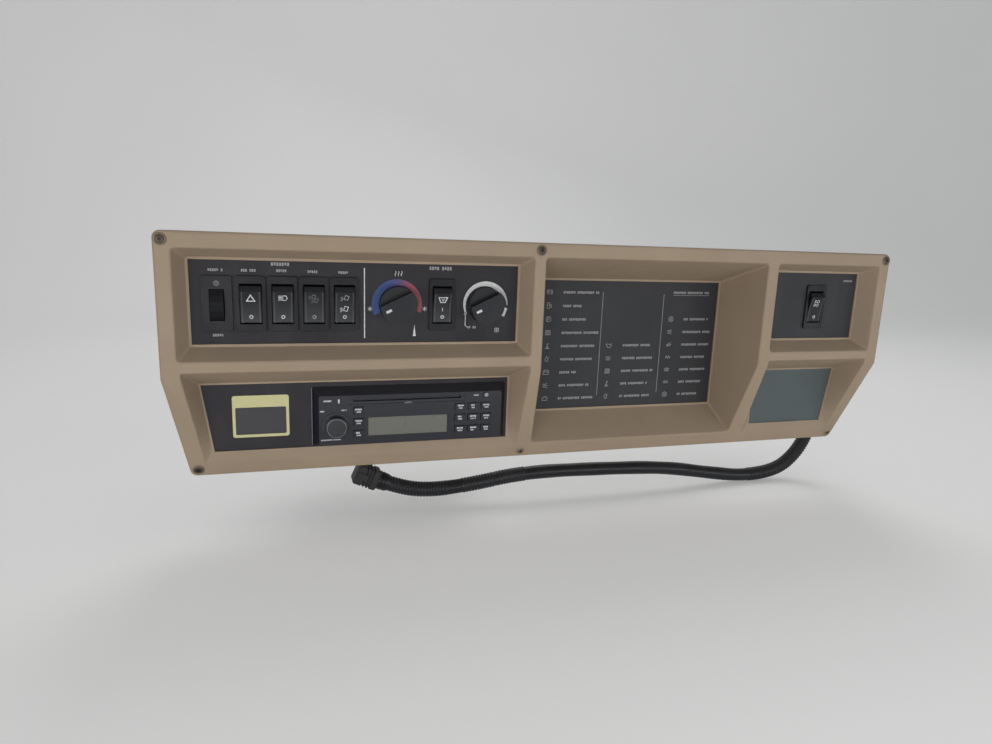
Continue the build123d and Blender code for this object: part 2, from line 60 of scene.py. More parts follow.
MM = 0.001
FACE_Y = -12.0              # mm: front of the upper facet
FOLD_Z = -111.5             # mm: fold between the facets
FOLD = math.radians(21.1)   # how far the lower facet leans back
UPPER_DEPTH = 20.0          # mm: panels behind the facets' front
LOWER_DEPTH = 35.7
LAMP_DEPTH = 66.0
SWITCH_ROW = 59.55          # mm: height of the control row above the fold


def at(x, height, depth):
    """Point from millimetres across, above the fold and behind the upper facet's front."""
    return Vector((x, FACE_Y + depth, FOLD_Z + height)) * MM


# Camera at the photograph's place and tilt
CAMERA_PLACE = Vector((-0.2606, -0.5973, 0.0127))
CAMERA_FORWARD = Vector((0.2904, 0.9361, -0.1984))
CAMERA_UP = Vector((0.0235, 0.2003, 0.9795))
CAMERA_LENS = 24.67


def add_camera():
    camera = bpy.data.objects.new("camera", bpy.data.cameras.new("camera"))
    scene.collection.objects.link(camera)
    forward = CAMERA_FORWARD.normalized()
    right = forward.cross(CAMERA_UP).normalized()
    up = right.cross(forward)
    turn = Matrix((right, up, -forward)).transposed()
    camera.matrix_world = Matrix.Translation(CAMERA_PLACE) @ turn.to_4x4()
    camera.data.lens = CAMERA_LENS
    camera.data.sensor_width = 36.0
    camera.data.clip_start = 0.01
    scene.camera = camera


add_camera()

# Materials


def linear(r, g, b):
    """Linear colour from 0-255 display values."""
    return tuple((c / 255 / 12.92) if c <= 10 else ((c / 255 + 0.055) / 1.055) ** 2.4 for c in (r, g, b)) + (1.0,)


def shaded(colour, by):
    return tuple(min(1.0, c * by) for c in colour[:3]) + (1.0,)


def new_material(name):
    made = bpy.data.materials.new(name)
    made.use_nodes = True
    nodes = made.node_tree.nodes
    return made, nodes, made.node_tree.links, nodes["Principled BSDF"]


def noise(nodes, links, size, detail=3.0, stretch=(1, 1, 1)):
    """Noise whose features are about size metres across, in the row frame."""
    place = nodes.new("ShaderNodeTexCoord")
    scale = nodes.new("ShaderNodeMapping")
    scale.inputs["Scale"].default_value = stretch
    made = nodes.new("ShaderNodeTexNoise")
    made.inputs["Scale"].default_value = 1 / size
    made.inputs["Detail"].default_value = detail
    links.new(place.outputs["Object"], scale.inputs["Vector"])
    links.new(scale.outputs["Vector"], made.inputs["Vector"])
    return made


def ranged(nodes, links, value, low, high, start=0.3, end=0.7):
    made = nodes.new("ShaderNodeMapRange")
    made.inputs["From Min"].default_value = start
    made.inputs["From Max"].default_value = end
    made.inputs["To Min"].default_value = low
    made.inputs["To Max"].default_value = high
    links.new(value, made.inputs["Value"])
    return made.outputs["Result"]


def mixed(nodes, links, share, first, second):
    """Colour between two colours or sockets."""
    made = nodes.new("ShaderNodeMix")
    made.data_type = "RGBA"
    links.new(share, made.inputs["Factor"])
    for socket, value in ((made.inputs["A"], first), (made.inputs["B"], second)):
        if isinstance(value, tuple):
            socket.default_value = value
        else:
            links.new(value, socket)
    return made.outputs["Result"]


def plastic(name, colour, roughness, grain=0.0006, relief=0.00005, patches=0.07, dust=0.0, coat=0.0,
            specular=0.3):
    """Moulded plastic: grain, uneven colour and sheen, and dust where it faces up."""
    made, nodes, links, shader = new_material(name)
    large = noise(nodes, links, 0.06, 4.0)
    shade = mixed(nodes, links, ranged(nodes, links, large.outputs["Fac"], 0, 1),
                  shaded(colour, 1 - patches), shaded(colour, 1 + patches))
    fine = noise(nodes, links, grain, 2.0)
    specks = ranged(nodes, links, fine.outputs["Fac"], 0, 0.35, 0.45, 0.75)
    shade = mixed(nodes, links, specks, shade, shaded(colour, 1 - 1.6 * patches))
    if dust:
        normal = nodes.new("ShaderNodeNewGeometry")
        split = nodes.new("ShaderNodeSeparateXYZ")
        links.new(normal.outputs["Normal"], split.inputs["Vector"])
        facing = ranged(nodes, links, split.outputs["Z"], 0, dust, 0.2, 1.0)
        streaks = noise(nodes, links, 0.012, 5.0)
        share = nodes.new("ShaderNodeMath")
        share.operation = "MULTIPLY"
        links.new(facing, share.inputs[0])
        links.new(ranged(nodes, links, streaks.outputs["Fac"], 0.5, 1), share.inputs[1])
        shade = mixed(nodes, links, share.outputs["Value"], shade, linear(176, 166, 148))
    links.new(shade, shader.inputs["Base Color"])
    shader.inputs["Specular IOR Level"].default_value = specular
    smears = noise(nodes, links, 0.018, 3.0, (1, 1, 0.4))
    links.new(ranged(nodes, links, smears.outputs["Fac"], roughness - 0.05, roughness + 0.07),
              shader.inputs["Roughness"])
    bump = nodes.new("ShaderNodeBump")
    bump.inputs["Strength"].default_value = 0.6
    bump.inputs["Distance"].default_value = relief
    links.new(fine.outputs["Fac"], bump.inputs["Height"])
    links.new(bump.outputs["Normal"], shader.inputs["Normal"])
    if coat:
        shader.inputs["Coat Weight"].default_value = coat
        shader.inputs["Coat Roughness"].default_value = 0.25
    return made


def metal(name, colour, roughness, size=0.003, stretch=(1, 1, 1)):
    """Plated metal with fine uneven sheen."""
    made, nodes, links, shader = new_material(name)
    shader.inputs["Metallic"].default_value = 1.0
    cloud = noise(nodes, links, size, 5.0, stretch)
    links.new(mixed(nodes, links, ranged(nodes, links, cloud.outputs["Fac"], 0, 1),
                    shaded(colour, 0.9), colour), shader.inputs["Base Color"])
    links.new(ranged(nodes, links, cloud.outputs["Fac"], roughness - 0.05, roughness + 0.07),
              shader.inputs["Roughness"])
    bump = nodes.new("ShaderNodeBump")
    bump.inputs["Strength"].default_value = 0.15
    bump.inputs["Distance"].default_value = 0.00001
    links.new(cloud.outputs["Fac"], bump.inputs["Height"])
    links.new(bump.outputs["Normal"], shader.inputs["Normal"])
    return made


def ink(name, colour, fade=0.25):
    """Screen-printed ink, worn thin in places; the same flat colour also makes painted highlights."""
    made, nodes, links, shader = new_material(name)
    wear = noise(nodes, links, 0.0012, 4.0)
    links.new(mixed(nodes, links, ranged(nodes, links, wear.outputs["Fac"], 0, 1, 0.4, 0.65),
                    shaded(colour, 1 - fade), colour), shader.inputs["Base Color"])
    shader.inputs["Roughness"].default_value = 0.6
    return made


def heat_ink():
    """Ink of the temperature arc, running from blue at its left end to red at its right."""
    made, nodes, links, shader = new_material("heat_ink")
    place = nodes.new("ShaderNodeTexCoord")
    split = nodes.new("ShaderNodeSeparateXYZ")
    ramp = nodes.new("ShaderNodeValToRGB")
    links.new(place.outputs["Generated"], split.inputs["Vector"])
    links.new(split.outputs["X"], ramp.inputs["Fac"])
    stops = ramp.color_ramp.elements
    stops[0].position = 0.08
    stops[0].color = linear(40, 70, 126)
    stops[1].position = 0.93
    stops[1].color = linear(140, 66, 74)
    for position, colour in ((0.36, linear(50, 68, 130)), (0.56, linear(80, 64, 112)),
                             (0.74, linear(138, 62, 80))):
        stops.new(position).color = colour
    wear = noise(nodes, links, 0.0015, 4.0)
    links.new(mixed(nodes, links, ranged(nodes, links, wear.outputs["Fac"], 0, 0.25, 0.45, 0.7),
                    ramp.outputs["Color"], linear(60, 62, 70)), shader.inputs["Base Color"])
    shader.inputs["Roughness"].default_value = 0.6
    return made


TAN = linear(152, 135, 115)
materials = {
    "fascia_tan": plastic("fascia_tan", TAN, 0.62, 0.0007, 0.00006, 0.05, 0.12),
    "panel_dark": plastic("panel_dark", linear(37, 35, 40), 0.58, 0.0005, 0.00004, 0.06, 0.04),
    "panel_grey": plastic("panel_grey", linear(47, 48, 51), 0.58, 0.0005, 0.00004, 0.05, 0.04),
    "panel_slate": plastic("panel_slate", linear(78, 87, 89), 0.55, 0.0005, 0.00004, 0.05, 0.06),
    "control_black": plastic("control_black", linear(18, 19, 24), 0.45, 0.0004, 0.00002, 0.06, 0.02, 0.0, 0.24),
    "wheel_black": plastic("wheel_black", linear(22, 23, 27), 0.66, 0.0004, 0.00003, 0.06, 0.02, 0.0, 0.15),
    "rocker_black": plastic("rocker_black", linear(18, 19, 24), 0.27, 0.0005, 0.00001, 0.06, 0.0, 0.0, 0.4),
    "knob_black": plastic("knob_black", linear(20, 22, 28), 0.44, 0.0005, 0.00003, 0.06, 0.03),
    "radio_black": plastic("radio_black", linear(23, 25, 34), 0.36, 0.0004, 0.00002, 0.05, 0.03, 0.1),
    "knob_gloss": plastic("knob_gloss", linear(19, 20, 26), 0.24, 0.0005, 0.00001, 0.05, 0.03, 0.5),
    "display": plastic("display", linear(105, 105, 98), 0.3, 0.0008, 0.000003, 0.02),
    "housing_black": plastic("housing_black", linear(40, 40, 42), 0.6, 0.0008, 0.00006, 0.08, 0.12),
    "loom_black": plastic("loom_black", linear(27, 28, 32), 0.44, 0.0006, 0.00003, 0.08, 0.06),
    "loom_tape": plastic("loom_tape", linear(23, 24, 28), 0.36, 0.0012, 0.00008, 0.08, 0.05),
    "chassis_steel": metal("chassis_steel", linear(176, 178, 180), 0.46, 0.004),
    "blade_brass": metal("blade_brass", linear(196, 172, 108), 0.34),
    "screw_steel": metal("screw_steel", linear(84, 78, 70), 0.48),
    "washer_steel": metal("washer_steel", linear(128, 116, 98), 0.5),
    "print_white": ink("print_white", linear(214, 216, 216)),
    "print_grey": ink("print_grey", linear(150, 152, 154)),
    # Dim grey: print on the field light's rocker, and painted highlights on the radio
    "dim_print_and_painted_highlight": ink("dim_print_and_painted_highlight", linear(104, 106, 110)),
    # Light grey for painted highlights on the rockers' side edges and the radio knob's ring
    "painted_highlight": ink("painted_highlight", linear(70, 73, 80), 0.2),
    "label_cream": ink("label_cream", linear(200, 196, 146), 0.1),
    "label_dark": ink("label_dark", linear(50, 48, 54), 0.15),
    "heat_ink": heat_ink(),
}

# Frame pieces

body_of_node = {node: body for body, nodes in frame["record"]["behaviour"]["bodies"].items() for node in nodes}


def add_piece(name, mesh, body, material):
    """Links a mesh as a piece that rides on a body."""
    made = bpy.data.objects.new(name, mesh)
    scene.collection.objects.link(made)
    if not mesh.materials:
        mesh.materials.append(materials[material])
    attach(made, body)
    return made


def weighted(piece):
    """Keeps large faces flat to the eye where they meet small rounded ones."""
    modifier = piece.modifiers.new("weighted", "WEIGHTED_NORMAL")
    modifier.keep_sharp = True


def softened(node, material, edge, sharp=35.0, tip=None, turn=None):
    """
    Stands for a CAD node with its sharp edges rounded. tip is (depth, material) for what lies
    behind it, and turn is (angle, centre) for one that is turned a little about the depth axis.
    """
    source = frame["nodes"][node].data
    build = bmesh.new()
    build.from_mesh(source)
    bmesh.ops.remove_doubles(build, verts=build.verts, dist=0.000002)
    bmesh.ops.dissolve_limit(build, angle_limit=math.radians(0.6), verts=build.verts, edges=build.edges)
    if turn:
        bmesh.ops.rotate(build, cent=turn[1], matrix=Matrix.Rotation(turn[0], 3, "Y"), verts=build.verts)
    if edge:
        corners = [e for e in build.edges if len(e.link_faces) == 2 and e.calc_face_angle(0) > math.radians(sharp)]
        bmesh.ops.bevel(build, geom=corners, offset=edge, offset_type="OFFSET", segments=2, profile=0.6,
                        affect="EDGES", clamp_overlap=True)
    mesh = bpy.data.meshes.new(node + "_soft")
    points = [v.co.copy() for v in build.verts]
    build.verts.index_update()
    mesh.from_pydata(points, [], [[v.index for v in f.verts] for f in build.faces])
    build.free()
    mesh.materials.append(materials[material])
    if tip:
        mesh.materials.append(materials[tip[1]])
        for face in mesh.polygons:
            if face.center.y > tip[0]:
                face.material_index = 1
    mesh.shade_smooth()
    mesh.set_sharp_from_angle(angle=math.radians(28))
    made = add_piece(node + "_soft", mesh, body_of_node[node], material)
    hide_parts(node)
    weighted(made)
    return made


def finish_node(node, material):
    for place in frame["nodes"][node].material_slots:
        place.material = materials[material]


# Loom

LOOM_R = 8.0 * MM
LOOM_EXIT_DEPTH = 75.0
GLAND_END = 210.4           # mm: where the loom meets the gland on the lamp housing
# Points of its line: x, depth, height, in mm
LOOM_ROUTE = [(-178, 75, -124), (-156, 75, -134), (-126, 75, -139.8), (-84, 75, -137.6),
              (-20, 75, -127.6), (66, 75, -129.2), (150, 75, -133), (212, 75, -144),
              (262, 75, -151.5), (309, 75, -147), (335, 76, -129), (352, 78, -103), (357, 80, -72),
              (350, 81, -41.5), (332, 81.5, -16), (305, 81.5, 2), (273, 81, 9.5), (240, 80.5, 11),
              (GLAND_END, 80.5, 11)]
RIB_PITCH = 3.2 * MM
RIB_DEPTH = 0.9 * MM
TAPE_R = 7.5 * MM
# Stretches that show their ribs, as distances along the loom from its plug, in mm
RIBBED = [(12, 75), (92, 127), (131, 162), (450, 700)]
LOOM_SIDES = 18


def loom_line():
    """Points along the route's smooth line."""
    curve = bpy.data.curves.new("loom_line", "CURVE")
    curve.dimensions = "3D"
    curve.resolution_u = 90
    spline = curve.splines.new("NURBS")
    spline.points.add(len(LOOM_ROUTE) - 1)
    for point, (x, depth, height) in zip(spline.points, LOOM_ROUTE):
        point.co = (*at(x, height, depth), 1.0)
    spline.order_u = 3
    spline.use_endpoint_u = True
    holder = bpy.data.objects.new("loom_line", curve)
    scene.collection.objects.link(holder)
    line = bpy.data.meshes.new_from_object(holder)
    points = [v.co.copy() for v in line.vertices]
    bpy.data.objects.remove(holder)
    bpy.data.meshes.remove(line)
    return points


def add_loom():
    """Corrugated conduit, wrapped in tape where its ribs don't show."""
    points = loom_line()
    build = bmesh.new()
    rings = []
    along = 0.0
    taped = []
    ahead = (points[1] - points[0]).normalized()
    side = ahead.cross(Vector((0, 0, 1))).normalized()
    for i, point in enumerate(points):
        if i:
            along += (point - points[i - 1]).length
        ahead = (points[min(i + 1, len(points) - 1)] - points[max(i - 1, 0)]).normalized()
        side = (side - ahead * side.dot(ahead)).normalized()
        other = ahead.cross(side)
        ribbed = any(start * MM < along < end * MM for start, end in RIBBED)
        wave = 0.5 + 0.5 * math.cos(2 * math.pi * along / RIB_PITCH)
        if ribbed:
            radius = LOOM_R - RIB_DEPTH * (1 - wave ** 0.6)
        else:
            radius = TAPE_R + 0.12 * MM * math.sin(along / 0.009) - 0.1 * MM * wave
        taped.append(not ribbed)
        rings.append([build.verts.new(point + (side * math.cos(a) + other * math.sin(a)) * radius)
                      for a in (2 * math.pi * k / LOOM_SIDES for k in range(LOOM_SIDES))])
    for i in range(len(rings) - 1):
        for k in range(LOOM_SIDES):
            m = (k + 1) % LOOM_SIDES
            face = build.faces.new((rings[i][k], rings[i][m], rings[i + 1][m], rings[i + 1][k]))
            face.material_index = int(taped[i])
            face.smooth = True
    build.faces.new(rings[0][::-1])
    build.faces.new(rings[-1])
    bmesh.ops.recalc_face_normals(build, faces=build.faces)
    mesh = bpy.data.meshes.new("loom_conduit")
    build.to_mesh(mesh)
    build.free()
    mesh.materials.append(materials["loom_black"])
    mesh.materials.append(materials["loom_tape"])
    loom = add_piece("loom_conduit", mesh, "root", "loom_black")
    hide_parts("loom")


add_loom()

# CAD nodes

softened("fascia", "fascia_tan", 0)
for node, material in (("switch_panel", "panel_dark"), ("radio_panel", "panel_dark"),
                       ("indicator_panel", "panel_grey"), ("aux_panel", "panel_grey"),
                       ("blank_panel", "panel_slate"), ("radio_chassis", "chassis_steel"),
                       ("temp_control", "housing_black"), ("fan_control", "housing_black"),
                       ("radio_display", "display")):
    finish_node(node, material)

BLADE_FRONT = at(0, 0, UPPER_DEPTH + 27.1).y
DIMMER_BLADE_FRONT = at(0, 0, UPPER_DEPTH + 35.1).y
SWITCHES = ("hazard", "road_light", "field_light", "work_light", "ac", "aux")
for name in SWITCHES:
    softened(name + "_switch", "control_black", 0.7 * MM, tip=(BLADE_FRONT, "blade_brass"))
    softened(name + "_rocker", "rocker_black", 1.2 * MM)
softened("dimmer_housing", "control_black", 0.7 * MM, tip=(DIMMER_BLADE_FRONT, "blade_brass"))
softened("dimmer_wheel", "wheel_black", 0.2 * MM)
KNOBS = {"temp": -167.3, "fan": -85.9}
GRIP_TURN = math.radians(20.0)      # of the knobs' grips in the CAD
POINTER_TURN = math.radians(25.5)   # as the photograph shows them
for name, x in KNOBS.items():
    softened(name + "_knob", "knob_black", 0.7 * MM, turn=(GRIP_TURN - POINTER_TURN, at(x, SWITCH_ROW, 0)))
softened("radio_face", "radio_black", 0.4 * MM)
softened("radio_keys", "radio_black", 0.35 * MM)
softened("radio_knob", "knob_gloss", 0.9 * MM)
softened("lamp_housing", "housing_black", 0.8 * MM)
softened("loom_bracket", "chassis_steel", 0.3 * MM)

# Printed marks and painted highlights

INK_RISE = 0.08 * MM        # thickness of a printed mark
INK_SINK = 0.02 * MM        # how far it starts below the surface


class Sheet:
    """Flat place for marks: u to the right and v up, in mm from its origin."""

    def __init__(self, origin, up):
        self.origin = origin
        self.right = Vector((1, 0, 0))
        self.up = up.normalized()
        self.out = self.right.cross(self.up)

    def point(self, u, v, rise=0.0):
        return self.origin + (self.right * u + self.up * v) * MM + self.out * rise


def facing(depth):
    """Sheet on a plane parallel to the upper facet, measured like the CAD."""
    return Sheet(at(0, 0, depth), Vector((0, 0, 1)))


def rocker_sheets(x):
    """Upper and lower half of a rocker's face, each with its origin at the dip between them."""
    tilt = math.radians(10.0)
    back = Vector((0, math.cos(tilt), math.sin(tilt)))
    up = Vector((0, -math.sin(tilt), math.cos(tilt)))
    dip = at(x, SWITCH_ROW, UPPER_DEPTH + 3.0) + back * (-5.9 * MM)
    return Sheet(dip, up * 12.1 - back * 1.5), Sheet(dip, up * 16.4 + back * 1.5)


class FlatMarks:
    """Collects marks on one sheet and turns them into one piece."""

    def __init__(self, sheet, rise=INK_RISE):
        self.sheet = sheet
        self.rise = rise
        self.build = bmesh.new()

    def _pair(self, u, v):
        return [self.build.verts.new(self.sheet.point(u, v, rise)) for rise in (-INK_SINK, self.rise)]

    def band(self, left, right, closed=False):
        """Mark between two rows of points."""
        sides = [(self._pair(*a), self._pair(*b)) for a, b in zip(left, right)]
        steps = list(zip(sides, sides[1:]))
        if closed:
            steps.append((sides[-1], sides[0]))
        for (a, b), (c, d) in steps:
            for face in ((a[1], b[1], d[1], c[1]), (a[0], c[0], d[0], b[0]),
                         (a[0], a[1], c[1], c[0]), (b[0], d[0], d[1], b[1])):
                self.build.faces.new(face)
        if not closed:
            for a, b in (sides[0], sides[-1]):
                self.build.faces.new((a[0], b[0], b[1], a[1]))

    def line(self, points, width, closed=False):
        """Line of even width with mitred corners."""
        points = [Vector(p) for p in points]
        left, right = [], []
        for i, here in enumerate(points):
            before = points[i - 1] if closed or i else None
            after = points[(i + 1) % len(points)] if closed or i < len(points) - 1 else None
            into = (here - before if before is not None else after - here).normalized()
            away = (after - here if after is not None else here - before).normalized()
            mean = (into + away).normalized()
            step = Vector((-mean.y, mean.x)) * (width / 2 / max(0.5, mean.dot(into)))
            left.append(here + step)
            right.append(here - step)
        self.band(left, right, closed)

    def fill(self, corners):
        """Filled shape."""
        pairs = [self._pair(*c) for c in corners]
        self.build.faces.new([p[1] for p in pairs])
        self.build.faces.new([p[0] for p in reversed(pairs)])
        for a, b in zip(pairs, pairs[1:] + pairs[:1]):
            self.build.faces.new((a[0], b[0], b[1], a[1]))

    def box(self, x, y, w, h, turn=0.0):
        across = Vector((math.cos(turn), math.sin(turn))) * w / 2
        upwards = Vector((-math.sin(turn), math.cos(turn))) * h / 2
        middle = Vector((x, y))
        self.fill([middle - across - upwards, middle + across - upwards,
                   middle + across + upwards, middle - across + upwards])

    def words(self, x, y, w, h=1.9, seed=0):
        """A legend as a row of plain blocks, so that nothing can be read."""
        letter = 0.55 * h
        gap = 0.22 * h
        place = x - w / 2
        count = 0
        while place + letter <= x + w / 2 + 0.01:
            if (count * 7 + seed * 3) % 11 != 5 or count < 2:
                tall = h * (0.82 if (count * 5 + seed) % 4 == 1 else 1.0)
                self.box(place + letter / 2, y + (h - tall) / 2, letter, tall)
            place += letter + gap
            count += 1

    def piece(self, name, body, material):
        bmesh.ops.recalc_face_normals(self.build, faces=self.build.faces)
        mesh = bpy.data.meshes.new(name)
        self.build.to_mesh(mesh)
        self.build.free()
        return add_piece(name, mesh, body, material)


def circle(x, y, r, start=0.0, end=360.0, count=20):
    """Points round a circle; a whole one leaves out the last, which is the first again."""
    whole = abs(end - start) >= 360
    steps = count if whole else count - 1
    angles = [math.radians(start + (end - start) * i / steps) for i in range(count)]
    return [(x + r * math.cos(a), y + r * math.sin(a)) for a in angles]


# Icons as lines in a cell from -1 to 1: points, closed
ICONS = {
    "brake": [(circle(0, 0, 0.55, count=16), True), (circle(0, 0, 0.95, 120, 240, 8), False),
              (circle(0, 0, 0.95, -60, 60, 8), False), ([(0, 0.3), (0, -0.1)], False)],
    "pump": [([(-0.7, -0.9), (0.2, -0.9), (0.2, 0.9), (-0.7, 0.9)], True),
             ([(-0.7, 0.2), (0.2, 0.2)], False), ([(0.2, 0.5), (0.7, 0.2), (0.7, -0.6), (0.45, -0.6)], False)],
    "park": [(circle(0, 0, 0.85, count=18), True), ([(-0.25, -0.5), (-0.25, 0.5)], False),
             (circle(-0.1, 0.2, 0.32, 90, -90, 7), False)],
    "filter": [([(-0.8, -0.7), (0.8, -0.7), (0.8, 0.7), (-0.8, 0.7)], True),
               ([(-0.4, -0.7), (-0.4, 0.7)], False), ([(0, -0.7), (0, 0.7)], False),
               ([(0.4, -0.7), (0.4, 0.7)], False)],
    "heat": [([(-0.8, -0.8), (0.8, -0.8)], False), ([(0, -0.8), (0, 0.8)], False),
             ([(0, 0.8), (0.45, 0.8)], False), ([(0, 0.4), (0.45, 0.4)], False),
             (circle(0, -0.45, 0.3, count=10), True)],
    "drop": [([(0, 0.9), (0.5, 0.1), (0.45, -0.45), (0, -0.8), (-0.45, -0.45), (-0.5, 0.1)], True),
             ([(0.65, 0.7), (0.95, 0.7)], False)],
    "battery": [([(-0.9, -0.6), (0.9, -0.6), (0.9, 0.5), (-0.9, 0.5)], True),
                ([(-0.6, 0.5), (-0.6, 0.85), (-0.25, 0.85)], False), ([(0.25, 0.85), (0.6, 0.85), (0.6, 0.5)], False),
                ([(-0.6, 0), (-0.25, 0)], False), ([(0.25, 0), (0.6, 0)], False)],
    "air": [([(-0.9, 0.5), (0.2, 0.5), (0.6, 0.8)], False), ([(-0.9, 0), (0.9, 0)], False),
            ([(-0.9, -0.5), (0.2, -0.5), (0.6, -0.8)], False)],
    "rotor": [(circle(0, 0, 0.85, count=18), True), ([(-0.6, -0.6), (0.6, 0.6)], False),
              ([(-0.6, 0.6), (0.6, -0.6)], False)],
    "tank": [([(-0.9, 0.7), (-0.9, -0.2), (-0.3, -0.8), (0.3, -0.8), (0.9, -0.2), (0.9, 0.7)], False),
             ([(-0.65, 0.25), (-0.2, 0.45), (0.2, 0.2), (0.65, 0.4)], False)],
    "belt": [(circle(-0.5, 0, 0.38, count=12), True), (circle(0.5, 0, 0.38, count=12), True),
             ([(-0.5, 0.5), (0.5, 0.5)], False), ([(-0.5, -0.5), (0.5, -0.5)], False)],
    "level": [([(-0.9, 0.3), (-0.5, 0.55), (0, 0.3), (0.5, 0.55), (0.9, 0.3)], False),
              ([(-0.9, -0.2), (0.9, -0.2)], False), ([(-0.6, -0.6), (0.6, -0.6)], False)],
    "engine": [([(-0.8, -0.6), (-0.8, 0.3), (-0.35, 0.3), (-0.15, 0.65), (0.45, 0.65), (0.45, 0.3),
                 (0.85, 0.3), (0.85, -0.6)], True)],
    "auger": [([(-0.9, -0.5), (-0.5, 0.5), (-0.1, -0.5), (0.3, 0.5), (0.7, -0.5), (0.95, 0.2)], False),
              ([(-0.9, 0), (0.9, 0)], False)],
    "walker": [([(-0.9, -0.6), (-0.5, -0.2), (-0.5, -0.6), (0, -0.1), (0, -0.5), (0.5, 0), (0.5, -0.4),
                 (0.9, 0.1)], False), ([(-0.9, -0.1), (0.9, 0.7)], False)],
}


def put_icon(marks, icon, x, y, half=3.2, width=0.58):
    for points, closed in ICONS[icon]:
        marks.line([(x + u * half, y + v * half) for u, v in points], width, closed)


def add_switch_panel_marks():
    words = FlatMarks(facing(UPPER_DEPTH))
    # Legends: x, height, width, letter height
    legends = [(-265.2, 93.0, 16.5, 2.8), (-317.1, 87.4, 11.6, 2.2), (-291.0, 87.4, 12.5, 2.2),
               (-265.1, 87.6, 8.5, 2.2), (-239.6, 87.2, 8.8, 2.2), (-213.9, 87.0, 9.0, 2.2),
               (-317.0, 33.2, 8.0, 2.2), (-127.6, 92.2, 22.0, 3.0), (-98.0, 38.9, 8.5, 2.2)]
    for seed, (x, y, w, h) in enumerate(legends):
        words.words(x, y, w, h, seed)
    words.piece("switch_panel_legends", "root", "print_grey")
    marks = FlatMarks(facing(UPPER_DEPTH))
    marks.box(-196.2, 60.5, 0.9, 61.8)
    # Small heat and cold signs beside the arcs, and the rising wedge below
    for x, y in ((-191.4, 55.7), (-142.6, 55.9)):
        for turn in (0, 60, 120):
            marks.box(x, y, 0.45, 4.2, math.radians(turn))
    for step in (-2.7, 0, 2.7):
        marks.line([(-166.3 + step, 84.8), (-166.9 + step, 86.2), (-165.8 + step, 87.6), (-166.3 + step, 89.2)], 0.5)
    marks.fill([(-153.0, 31.1), (-150.4, 31.1), (-151.6, 41.7)])
    # Arrow towards the automatic setting
    marks.line([(-104.5, 52.0), (-104.5, 40.9)], 0.6)
    marks.fill([(-106.0, 50.6), (-103.0, 50.6), (-104.5, 53.6)])
    marks.line([(-104.5, 40.9), (-102.9, 39.2)], 0.6)
    for turn in range(0, 360, 90):
        a = math.radians(turn + 45)
        marks.line([(-73.8 + c[0], 36.2 + c[1]) for c in circle(1.3 * math.cos(a), 1.3 * math.sin(a), 1.0, count=8)],
                   0.4, True)
    marks.piece("switch_panel_marks", "root", "print_white")


def add_arcs():
    heat = FlatMarks(facing(UPPER_DEPTH))
    # Temperature arc: angle, inner radius, outer radius
    stops = [(204.7, 16.5, 22.4), (180, 16.3, 22.8), (150, 16.5, 22.8), (120, 16.8, 22.7), (90, 17.0, 22.7),
             (60, 17.4, 22.6), (30, 18.0, 22.4), (0, 18.3, 22.3), (-18.4, 18.5, 22.2)]
    ring(heat, -167.3, 59.4, stops)
    heat.piece("temperature_arc", "root", "heat_ink")
    air = FlatMarks(facing(UPPER_DEPTH))
    # Fan arc: it swells towards the upper right
    stops = [(206, 19.3, 20.5), (180, 18.8, 21.1), (150, 18.4, 21.5), (120, 17.8, 21.7), (90, 17.4, 21.8),
             (60, 16.9, 21.8), (40, 16.7, 21.8), (25, 17.3, 21.7), (12, 18.8, 21.6), (0, 20.6, 21.5)]
    ring(air, -85.6, 59.6, stops)
    air.box(-67.0, 53.2, 3.2, 8.2, math.radians(-21))
    air.piece("fan_arc", "root", "print_white")


def ring(marks, x, y, stops, steps=6):
    """Curved band whose inner and outer radius change evenly between stops."""
    inner, outer = [], []
    for (a0, r0, s0), (a1, r1, s1) in zip(stops, stops[1:]):
        for i in range(steps):
            share = i / steps
            a = math.radians(a0 + (a1 - a0) * share)
            inner.append((x + (r0 + (r1 - r0) * share) * math.cos(a), y + (r0 + (r1 - r0) * share) * math.sin(a)))
            outer.append((x + (s0 + (s1 - s0) * share) * math.cos(a), y + (s0 + (s1 - s0) * share) * math.sin(a)))
    a = math.radians(stops[-1][0])
    inner.append((x + stops[-1][1] * math.cos(a), y + stops[-1][1] * math.sin(a)))
    outer.append((x + stops[-1][2] * math.cos(a), y + stops[-1][2] * math.sin(a)))
    marks.band(inner, outer)


def add_indicator_marks():
    lines = FlatMarks(facing(LAMP_DEPTH))
    lines.box(56.0, 13.5, 0.55, 111.0)
    lines.box(128.2, 13.0, 0.55, 108.0)
    lines.line([(139.5, 66.3), (184.1, 66.3)], 0.45)
    rows = [68.5 - 14.04 * i for i in range(9)]
    # Columns: icon x, legend's left end, first row, icons and legend widths from that row down
    columns = [
        (-4.0, 11.3, 0, [("brake", 40), ("pump", 21), ("park", 30), ("filter", 42), ("heat", 38), ("drop", 38),
                         ("battery", 19), ("air", 35), ("engine", 40)]),
        (66.7, 83.3, 4, [("tank", 33), ("level", 37), ("filter", 38), ("heat", 33), ("drop", 37)]),
        (139.0, 155.0, 2, [("rotor", 32), ("air", 35), ("walker", 36), ("auger", 31), ("belt", 34),
                           ("auger", 30), ("rotor", 25)]),
    ]
    for icon_x, left, first, entries in columns:
        for i, (icon, width) in enumerate(entries):
            put_icon(lines, icon, icon_x, rows[first + i])
            lines.words(left + width / 2, rows[first + i] - 0.3, width, 2.5, i + first)
    lines.words(161.8, 69.1, 44.0, 2.5, 5)
    lines.piece("indicator_marks", "root", "print_grey")


def add_small_marks():
    aux = FlatMarks(facing(UPPER_DEPTH))
    aux.words(327.0, 87.8, 13.0, 2.2, 4)
    aux.piece("aux_panel_marks", "root", "print_grey")


EDGE_X = 7.0                # mm: painted highlights along the rockers' sides
EDGE_W = 0.6
# Rockers whose signs are dimmer than white
MARK_INK = {"field_light": "dim_print_and_painted_highlight", "work_light": "print_grey"}


